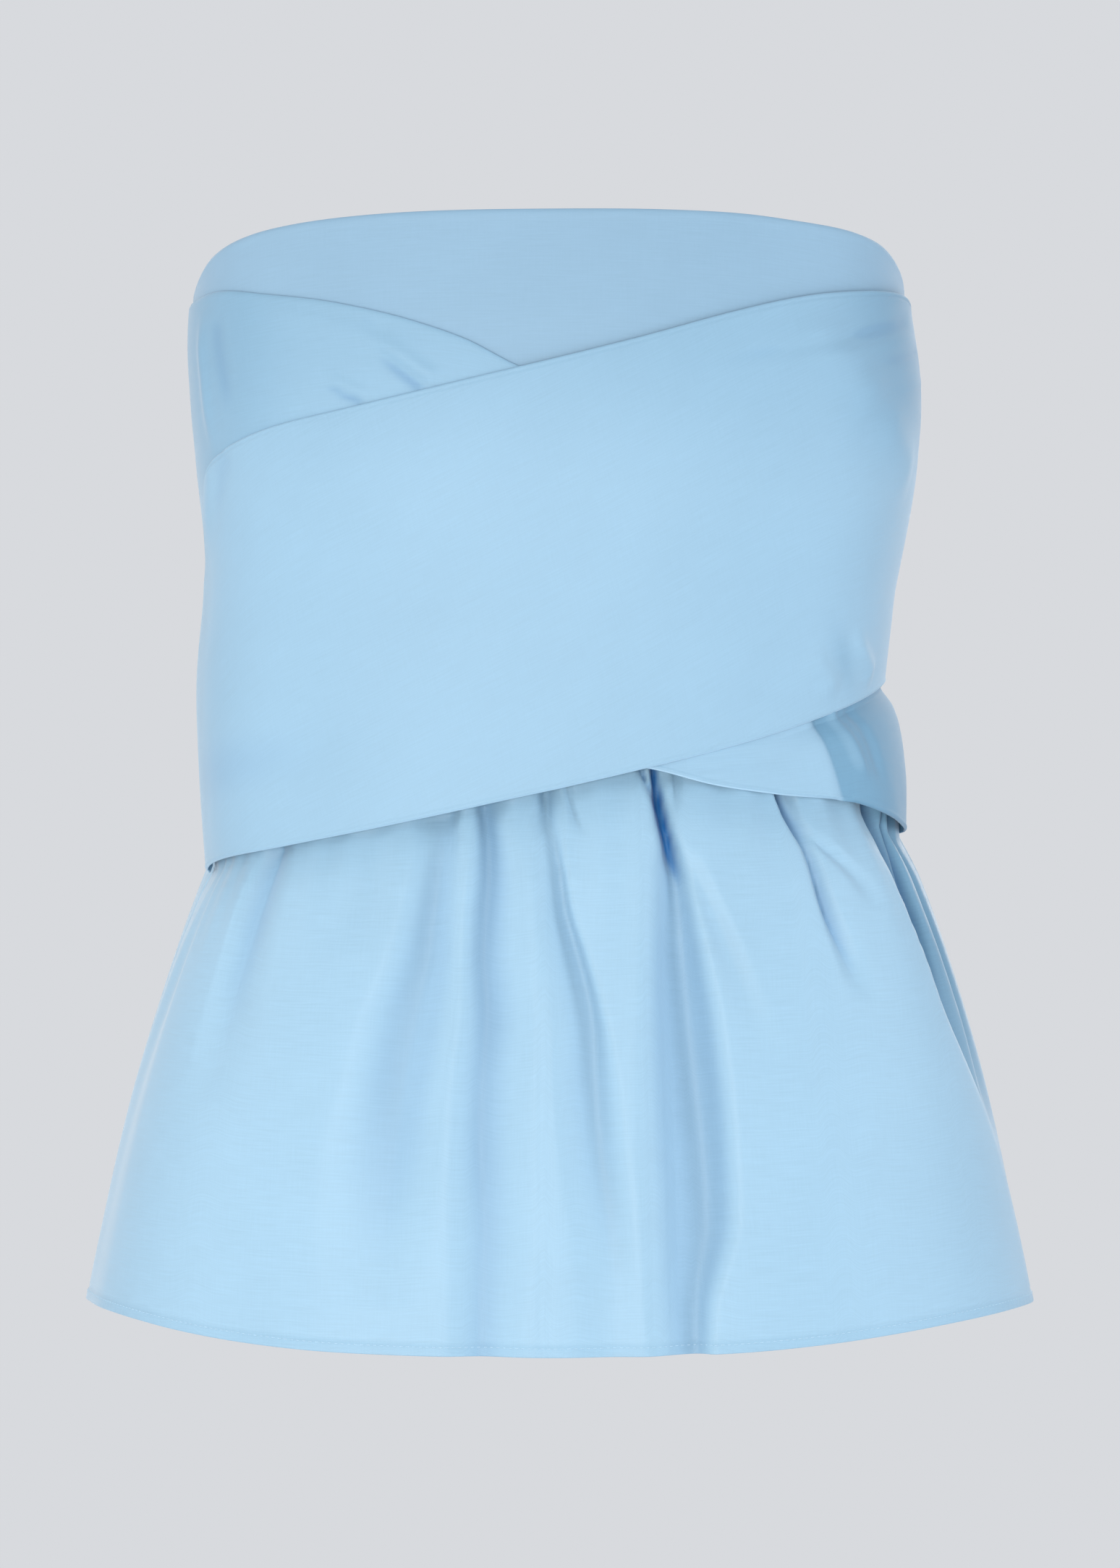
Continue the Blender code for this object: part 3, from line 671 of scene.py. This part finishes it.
# Each fold: centre angle, reach to both sides, depth and softness of its valley, by height, and its share of deeper
# blue painted shade in the valley (blue)
frontFolds = [
    # far left
    {"z": [-200, -225, -235, -250, -268, -286, -309, -350], "phi": [-46, -46.5, -48.2, -50.6, -51.8, -52, -52, -52],
     "left": [3, 3, 3, 4.4, 5, 5, 6, 7], "right": [3, 3, 5, 8, 9, 9, 10, 10], "deep": [1, 2.4, 4.6, 6.6, 7, 6, 4, 0],
     "soft": 0.5, "blue": 0.14},
    {"z": [-232, -250, -266, -286], "phi": [-27, -27.6, -29, -31],
     "left": [6, 6, 7, 7], "right": [6, 6, 6, 7], "deep": [0, 2.2, 2, 0], "soft": 0.8},
    # left of the middle
    {"z": [-200, -229, -241, -250, -268, -286, -309, -339, -368, -398, -430],
     "phi": [-15, -15.3, -15.8, -16.5, -17.3, -18, -19.4, -21, -21.6, -22.6, -23],
     "left": [6, 7, 5, 5, 5.5, 6.5, 8.5, 9, 11, 10, 9], "right": [1.8, 2, 3, 4.2, 5, 6, 7.4, 7.6, 8, 8, 8],
     "deep": [3, 5, 5.4, 6.2, 7.4, 8.6, 9, 8.6, 6.6, 4, 1], "soft": 0.7, "blue": 0.12},
    {"z": [-200, -229, -235, -250, -268, -286, -309, -339, -368, -398, -427, -447],
     "phi": [-10.8, -10.4, -10, -9.6, -9.8, -10, -9.4, -9.8, -9.8, -9.2, -9.4, -9.4],
     "left": [1.5, 1.6, 1.9, 3, 3.8, 4, 4.4, 5, 5.2, 5.6, 5, 5],
     "right": [5, 4.8, 4.6, 5.6, 6.4, 7, 7.5, 7.5, 7.5, 7.5, 6.5, 6.5],
     "deep": [4, 6.6, 7, 7.2, 7, 6.8, 6.8, 6, 6, 5.4, 5, 5], "soft": 0.35, "blue": 0.22},
    # middle
    {"z": [-200, -223, -229, -241, -250, -268, -286, -309, -339, -368, -398, -427],
     "phi": [-1.4, -1.4, -1.2, 0.2, 0.8, 1.6, 3.4, 5.2, 5.6, 6.2, 7.4, 7.8],
     "left": [2, 2, 2.4, 3.4, 4, 4.4, 5.4, 6.5, 6.5, 6, 6, 6], "right": [3, 3.4, 2.8, 1, 0.9, 1.2, 1.4, 1.8, 3.6, 4, 4, 4],
     "deep": [3, 4.6, 4.8, 5, 5.6, 6.4, 7, 7, 7.2, 6, 4, 2], "soft": 0.7, "blue": 0.1},
    {"z": [-205, -217, -225, -235], "phi": [-1.6, -1.5, -1.2, -0.6],
     "left": [1.3, 1.3, 1.2, 1], "right": [1.6, 1.6, 1.2, 1], "deep": [3, 3.4, 2.2, 0], "soft": 0.1, "blue": 0.5},
    {"z": [-205, -217, -229, -237], "phi": [1.5, 1.9, 3.2, 4.2],
     "left": [1, 1.1, 1.2, 1.4], "right": [0.8, 0.8, 0.9, 1.2], "deep": [2, 2.4, 1.8, 0], "soft": 0.2, "blue": 0.2},
    {"z": [-200, -209, -217, -227], "phi": [12.8, 13.6, 14.5, 15.8],
     "left": [1.2, 1.2, 1.1, 1], "right": [0.8, 0.8, 0.8, 0.8], "deep": [5, 5.6, 4, 0], "soft": 0.1, "blue": 0.8},
    {"z": [-203, -211, -219, -228], "phi": [19.6, 19.3, 18.9, 18.6],
     "left": [0.9, 0.9, 0.9, 1], "right": [1.5, 1.4, 1.2, 1], "deep": [3.4, 3.6, 2.4, 0], "soft": 0.2, "blue": 0.45},
    # the deep one right of the middle, with the wide valley it runs out into
    {"z": [-198, -210, -225, -233, -240, -246, -252, -262, -275],
     "phi": [15.6, 15.8, 16.3, 16.8, 17.4, 17.8, 18.4, 18.9, 19.3],
     "left": [1.2, 1.3, 2, 2.1, 2.2, 2.3, 2.5, 2.8, 3.2], "right": [0.9, 1, 1.5, 1.6, 1.8, 2, 2.4, 2.8, 3.2],
     "deep": [6, 9, 11, 9.6, 8, 6.6, 4.8, 2.2, 0], "soft": 0.25, "blue": 0.95},
    {"z": [-235, -247, -256, -268, -286, -309, -339, -368, -398, -427, -447],
     "phi": [17, 17.4, 17.7, 18.2, 18.7, 19.3, 20.2, 20.9, 20.9, 19.2, 18.9],
     "left": [3.4, 4.6, 5.2, 6, 7, 8, 9.6, 10.5, 10.5, 8, 7],
     "right": [2.4, 2.8, 3.2, 3.6, 4.2, 5, 5, 4.6, 4.4, 2.6, 2.2],
     "deep": [2.4, 6, 7.4, 9, 11.4, 13, 13.4, 12.6, 11, 8.4, 7], "soft": 0.9, "blue": 0.15},
    {"z": [-242, -250, -268, -286, -309, -335], "phi": [19.8, 20.8, 23.4, 25.6, 28, 30],
     "left": [2, 2.2, 2.6, 3, 3.6, 4], "right": [2.4, 2.6, 3, 3.4, 4, 5], "deep": [0, 1.8, 3, 2.8, 1.4, 0], "soft": 0.7},
    # right
    {"z": [-200, -223, -229, -235, -241, -247, -256, -268, -286, -305],
     "phi": [38.4, 39.2, 39.9, 41, 42.1, 42.8, 43.3, 44, 45.9, 47.7],
     "left": [1.8, 1.8, 2, 2.2, 2.2, 2.4, 2.4, 2.4, 3, 4], "right": [3.2, 3.2, 3.4, 4, 2, 2, 2, 2.4, 3, 4],
     "deep": [5, 8, 8, 6.6, 5, 5, 5.6, 6, 4, 0], "soft": 0.3, "blue": 0.4},
    {"z": [-203, -214, -222, -233], "phi": [40.4, 40.8, 41.4, 42.4],
     "left": [1.8, 1.8, 1.7, 1.6], "right": [2, 2, 1.8, 1.6], "deep": [3, 4, 3, 0], "soft": 0.3, "blue": 0.6},
    {"z": [-235, -241, -247, -256, -268], "phi": [43.5, 45.6, 48.3, 51.6, 54],
     "left": [2, 2.2, 2.6, 3, 3], "right": [3, 3, 3.4, 4, 4], "deep": [0, 2.8, 2.6, 1.4, 0], "soft": 0.5},
    # the recess behind the front panel's edge, two grooves with a ridge between
    {"z": [-200, -229, -241, -250, -266, -278, -288, -312, -330, -350, -372],
     "phi": [61.6, 63, 63.6, 64, 64.6, 65.2, 66.2, 68.4, 71.6, 75.4, 79],
     "left": [2.6, 2.6, 2.6, 2.6, 2.6, 2.6, 3, 4, 5, 6, 7], "right": [7, 8, 9, 9, 9, 9, 9, 8, 8, 8, 8],
     "deep": [6, 12, 13, 13.6, 14, 13.4, 12, 8, 5.6, 3, 0], "soft": 0.1, "blue": 0.36},
    {"z": [-214, -236, -262, -278, -292, -304], "phi": [71, 70.8, 70.4, 71, 70.8, 71],
     "left": [1.7, 1.7, 1.7, 1.7, 1.7, 1.7], "right": [1.7, 1.7, 1.7, 1.7, 1.7, 1.7], "deep": [3, 5.4, 5.6, 5.4, 4, 0],
     "soft": 0.1, "blue": 0.9},
    {"z": [-200, -236, -248, -266, -288, -313, -344, -370], "phi": [76, 77, 77.6, 78, 79, 80, 82, 84],
     "left": [4, 4, 4, 4, 4, 4, 4, 4], "right": [5, 5, 5, 5, 5, 5, 5, 5], "deep": [4, 7, 7.4, 7, 6, 5, 3, 0], "soft": 0.3,
     "blue": 0.45},
    # a broad ridge left of the middle
    {"z": [-236, -262, -290, -320, -380, -430, -447], "phi": [-4, -3.2, -2.2, -1, -0.4, 0, 0],
     "left": [4, 5, 6, 6.5, 7, 8, 8], "right": [3.4, 4, 5, 6, 6.5, 7, 7], "deep": [0, -1.6, -2, -1.8, -1.6, -1.2, -1.2],
     "soft": 0.5},
    # a ridge along the front panel's edge, wide on its near side
    {"z": [-200, -234, -250, -275, -310, -350, -400, -446], "phi": [57, 58, 60, 62, 65.5, 71, 75, 77],
     "left": [24, 24, 24, 26, 28, 30, 30, 30], "right": [3, 3, 3, 3.4, 4.6, 7, 9, 10],
     "deep": [0, 0, -1.6, -3.2, -4.2, -4.4, -4, -3.4], "soft": 0.7},
    {"z": [-200, -250, -290, -340, -446], "phi": [-74, -75, -77, -79, -80],
     "left": [5, 5, 6, 7, 8], "right": [5, 6, 7, 9, 10], "deep": [1, 2, 3, 2.2, 1], "soft": 0.9},
]
backFolds = [
    {"z": [-200, -214, -250, -330, -446], "phi": [103, 103, 104, 106, 107],
     "left": [4, 4, 6, 8, 9], "right": [4, 4, 5, 7, 8], "deep": [1, 4.5, 6, 4, 1.5], "soft": 0.6},
    {"z": [-200, -214, -245, -310, -360], "phi": [118, 118, 119, 121, 123],
     "left": [3, 3.5, 5, 7, 8], "right": [3, 3, 4, 6, 7], "deep": [1, 4, 5, 2.6, 0], "soft": 0.5},
    {"z": [-200, -214, -255, -330, -446], "phi": [134, 134, 135.5, 137, 138],
     "left": [4, 4, 6, 8, 9], "right": [4, 4, 6, 7, 9], "deep": [1, 5, 7, 4.6, 1.8], "soft": 0.7},
    {"z": [-200, -214, -240, -290, -340], "phi": [149, 149, 149.6, 151, 152],
     "left": [3, 3, 4, 6, 7], "right": [3, 3, 4, 6, 7], "deep": [1, 4, 4.4, 2, 0], "soft": 0.4},
    {"z": [-200, -214, -260, -340, -446], "phi": [163, 163, 164, 165.5, 166],
     "left": [4, 4, 6, 8, 9], "right": [4, 4, 5, 7, 8], "deep": [1, 4.6, 6, 4, 1.4], "soft": 0.7},
    {"z": [-200, -214, -245, -300, -350], "phi": [178.5, 178.5, 179, 180, 181],
     "left": [3, 3.5, 5, 6, 7], "right": [3, 3, 4, 6, 7], "deep": [1, 4.4, 5, 2.4, 0], "soft": 0.5},
    {"z": [-200, -214, -255, -335, -446], "phi": [195, 195, 194.4, 193, 192.5],
     "left": [4, 4, 5, 7, 8], "right": [4, 4, 6, 8, 9], "deep": [1, 5, 6.4, 4.2, 1.6], "soft": 0.6},
    {"z": [-200, -214, -240, -290, -335], "phi": [210, 210, 209.6, 208, 207],
     "left": [3, 3, 4, 6, 7], "right": [3, 3, 4, 6, 7], "deep": [1, 4, 4.6, 2.2, 0], "soft": 0.4},
    {"z": [-200, -214, -255, -330, -446], "phi": [225, 225, 224, 222, 221],
     "left": [4, 4, 6, 8, 9], "right": [4, 4, 6, 8, 9], "deep": [1, 5, 7, 4.8, 1.8], "soft": 0.7},
    {"z": [-200, -214, -245, -310, -360], "phi": [241, 241, 240, 238, 237],
     "left": [3, 3.5, 4, 6, 7], "right": [3, 3, 5, 7, 8], "deep": [1, 4, 5, 2.6, 0], "soft": 0.5},
    {"z": [-200, -218, -255, -330, -446], "phi": [257, 257, 256, 254, 253],
     "left": [4, 4, 5, 7, 8], "right": [4, 4, 6, 8, 9], "deep": [1, 4, 5.6, 4, 1.5], "soft": 0.6},
]


def trough(fold, phi, z):
    # A valley with its own reach to each side: V shaped where soft is 0, round where it is 1
    heights = fold["z"][::-1]
    centre = smoothCurve(z, heights, fold["phi"][::-1])
    left = np.interp(z, heights, fold["left"][::-1])
    right = np.interp(z, heights, fold["right"][::-1])
    deep = smoothCurve(z, heights, fold["deep"][::-1])
    deep = np.maximum(deep, 0) if fold["deep"][-2] >= 0 else np.minimum(deep, 0)
    deep = np.where(z > fold["z"][0], fold["deep"][0], deep)
    t = np.clip(np.where(phi < centre, (centre - phi) / left, (phi - centre) / right), 0, 1)
    sharp = (1 - t)**2 * (1 + t)
    soft = (1 - t * t)**2
    return deep * (sharp + fold["soft"] * (soft - sharp))


def swellUnder(phi, z):
    # The peplum follows the swelling on the front and lets it go behind the side seam
    behind = np.clip((phi - 90) / 22, 0, 1)
    return swell(np.minimum(phi, 90), z, peplum["swellSide"], 0) * (1 - easeIn(behind))


def seamAllowance(z):
    # Above the waist seam the peplum's edge is caught inside the bandeau
    return peplum["caughtIn"] * (1 - easeIn((bodyForm["waistZ"] - z) / 1.2))


def peplumOut(phi, z, folds, side):
    # Tucked in at the waist, level with the body inside the wraps, then flaring out; gathers and folds go inward
    drop = edgeAt(peplum["release"], phi)
    hem = edgeAt(peplum["hem"], phi)
    down = np.clip((drop - z) / (drop - hem), 0, 1)
    flare = smoothCurve(foldAngle(phi), peplum["standOut"]["phi"], peplum["standOut"]["mm"])
    flare = flare * smoothCurve(down, peplum["flare"]["down"], peplum["flare"]["out"])
    tuck = bodyForm["waistTuck"] * (1 - easeIn((bodyForm["waistZ"] - z) / 22))
    phase = np.radians(phi * peplum["gathers"] + 50 * np.sin(np.radians(phi * 5)) + 35 * np.sin(np.radians(phi * 11)))
    gather = peplum["gatherDepth"]
    inward = np.interp(bodyForm["waistZ"] - z, gather["down"], gather[side]) * (0.5 - 0.5 * np.cos(phase))
    creaseShade = np.zeros_like(inward)
    for fold in folds:
        valley = trough(fold, phi, z)
        inward = inward + valley
        # painted shade where the fold's valley runs deep
        creaseShade = np.maximum(creaseShade, fold.get("blue", 0) * easeIn((valley - 1.5) / 5.5))
    atSeam = easeIn(np.abs(np.abs(foldAngle(phi)) - 90) / 4.5)
    swelling = swellUnder(phi, np.maximum(z, drop)) * easeIn((bodyForm["waistZ"] - z) / 9)
    clear = peplum["wrapClear"] * (1 - easeIn(down / 0.07))
    inward = inward * atSeam * easeIn((bodyForm["waistZ"] - z) / 4)
    return flare + swelling + seamGroove(phi) - tuck - inward - clear - seamAllowance(z), creaseShade


def peplumSheet(name, first, last, folds, side, node):
    phi = np.linspace(first, last, peplum["columns"])[None, :]
    t = smoothRows(peplum["rows"], 0.3, 0.0)[:, None]
    hem = edgeAt(peplum["hem"], phi)
    start = bodyForm["waistZ"] + peplum["allowance"]
    z = start + (hem - start) * t
    phi = np.broadcast_to(phi, z.shape)
    out, creaseShade = peplumOut(phi, z, folds, side)
    rise = z - hem
    turned = easeIn((peplum["hemTurn"] - rise) / 0.7)
    out = out + 0.3 * turned - 0.25 * np.exp(-((rise - peplum["hemTurn"] - 0.3) / 0.5)**2)
    out = out + 0.1 * turned * np.sin(np.radians(phi * 360 / 1.35))
    # painted shade in the recess behind the front panel's edge: its border widens and it weakens lower down, fading out
    # behind the side seam and towards the hem
    edge = smoothCurve(z, peplum["recessEdge"]["z"], peplum["recessEdge"]["phi"])
    lower = easeIn((-285 - z) / 60)
    away = easeIn((phi - edge) / (1.4 + 7 * lower)) * (1 - easeIn((phi - 90) / 16)) * (1 - lower * 0.5)
    away = away * easeIn((z + 400) / 50)
    # and a soft painted shadow lies just under the wraps' lower edges, in front
    under = np.clip(edgeAt(peplum["release"], phi) - z, 0, 90)
    shade = peplum["underEdgeShade"] * np.exp(-(under / 17)**2) * easeIn((80 - np.abs(foldAngle(phi))) / 20)
    # painted shade mark: the larger of the recess shade, the shadow under the wraps and a darker turned hem band
    marks = {"paintedCreaseShade": creaseShade, "paintedShade": np.maximum(np.maximum(away, shade), peplum["hemShade"] * turned)}
    piece = clothSheet(name, bodyPoint(phi, z, out), peplum["cloth"], clothPaints["peplum"], marks)
    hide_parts(node)
    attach(piece, "root")
    return piece


peplumFront = peplumSheet("peplumFront", -90, 90, frontFolds, "front", "peplum_front")
peplumBack = peplumSheet("peplumBack", 90, 270, backFolds, "back", "peplum_back")
print("stage: peplum")

overPiece = overWrapSheet()
underPiece = underWrapSheet()
for piece, node in ((overPiece, "wrap_over"), (underPiece, "wrap_under")):
    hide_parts(node)
    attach(piece, "root")
print("stage: wraps")

# ---- hem stitching

stitching = {"pitch": 2.7, "length": 1.9, "radius": 0.19, "rise": 3.4, "tint": (0.40, 0.61, 0.77)}


def threadMaterial():
    # Twisted thread: a fine slanting band of lighter and darker blue
    material = bpy.data.materials.new("hemThread")
    material.use_nodes = True
    tree = material.node_tree
    nodes = tree.nodes
    shader = nodes["Principled BSDF"]
    place = nodes.new("ShaderNodeTexCoord")
    band = nodes.new("ShaderNodeTexWave")
    band.inputs["Scale"].default_value = 900.0
    band.bands_direction = "DIAGONAL"
    ramp = nodes.new("ShaderNodeValToRGB")
    ramp.color_ramp.elements[0].color = (*[0.82 * c for c in stitching["tint"]], 1)
    ramp.color_ramp.elements[1].color = (*stitching["tint"], 1)
    linkNodes(tree, [(place.outputs["Object"], band.inputs["Vector"]), (band.outputs["Fac"], ramp.inputs["Fac"]),
                     (ramp.outputs["Color"], shader.inputs["Base Color"])])
    shader.inputs["Roughness"].default_value = 0.5
    shader.inputs["Sheen Weight"].default_value = 0.2
    return material


def stitchRow(name, first, last, folds, side, paint):
    # Stitches at an even pitch along the hem: each is a short bead, its radius the root of 1 - s squared
    fine = np.linspace(first, last, 4000)
    z = edgeAt(peplum["hem"], fine) + stitching["rise"]
    out, _ = peplumOut(fine, z, folds, side)
    line = bodyPoint(fine, z, out + 0.36)
    step = np.linalg.norm(np.diff(line, axis=0), axis=1)
    run = np.concatenate([[0], np.cumsum(step)])
    count = int(run[-1] / stitching["pitch"])
    centre = (np.arange(count) + 0.5) * run[-1] / count
    s = np.linspace(-1, 1, 6)
    at = (centre[:, None] + s[None, :] * stitching["length"] / 2).ravel()
    spine = np.stack([np.interp(at, run, line[:, k]) for k in range(3)], axis=-1)
    ahead = np.stack([np.interp(at + 0.2, run, line[:, k]) for k in range(3)], axis=-1) - spine
    ahead = ahead / np.maximum(np.linalg.norm(ahead, axis=1, keepdims=True), 1e-6)
    upward = np.array([0.0, 0.0, 1.0])
    outward = np.cross(ahead, upward)
    outward = outward / np.linalg.norm(outward, axis=1, keepdims=True)
    sink = np.tile(-0.22 * s**2, count)[:, None]
    radius = np.tile(stitching["radius"] * np.sqrt(np.clip(1.04 - s**2, 0, 1)), count)[:, None, None]
    turn = np.linspace(0, 2 * np.pi, 7)[:-1][None, :, None]
    ring = (spine + sink * outward)[:, None, :] + radius * (np.cos(turn) * outward[:, None, :]
                                                            + np.sin(turn) * upward)
    verts = ring.reshape(-1, 3) / 1000
    index = np.arange(count * 6 * 6).reshape(count, 6, 6)
    around = np.roll(index, -1, axis=2)
    sides = np.stack([index[:, :-1], around[:, :-1], around[:, 1:], index[:, 1:]], axis=-1).reshape(-1, 4)
    caps = np.concatenate([index[:, 0, ::-1], index[:, -1, :]])
    mesh = bpy.data.meshes.new(name)
    mesh.from_pydata(verts.tolist(), [], sides.tolist() + caps.tolist())
    mesh.update()
    mesh.polygons.foreach_set("use_smooth", np.ones(len(mesh.polygons), dtype=bool))
    mesh.materials.append(paint)
    piece = bpy.data.objects.new(name, mesh)
    bpy.context.scene.collection.objects.link(piece)
    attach(piece, "root")
    return piece


hemThread = threadMaterial()
frontStitches = stitchRow("hemStitchesFront", -89.6, 89.6, frontFolds, "front", hemThread)
backStitches = stitchRow("hemStitchesBack", 90.4, 269.6, backFolds, "back", hemThread)
print("stage: hem stitching")
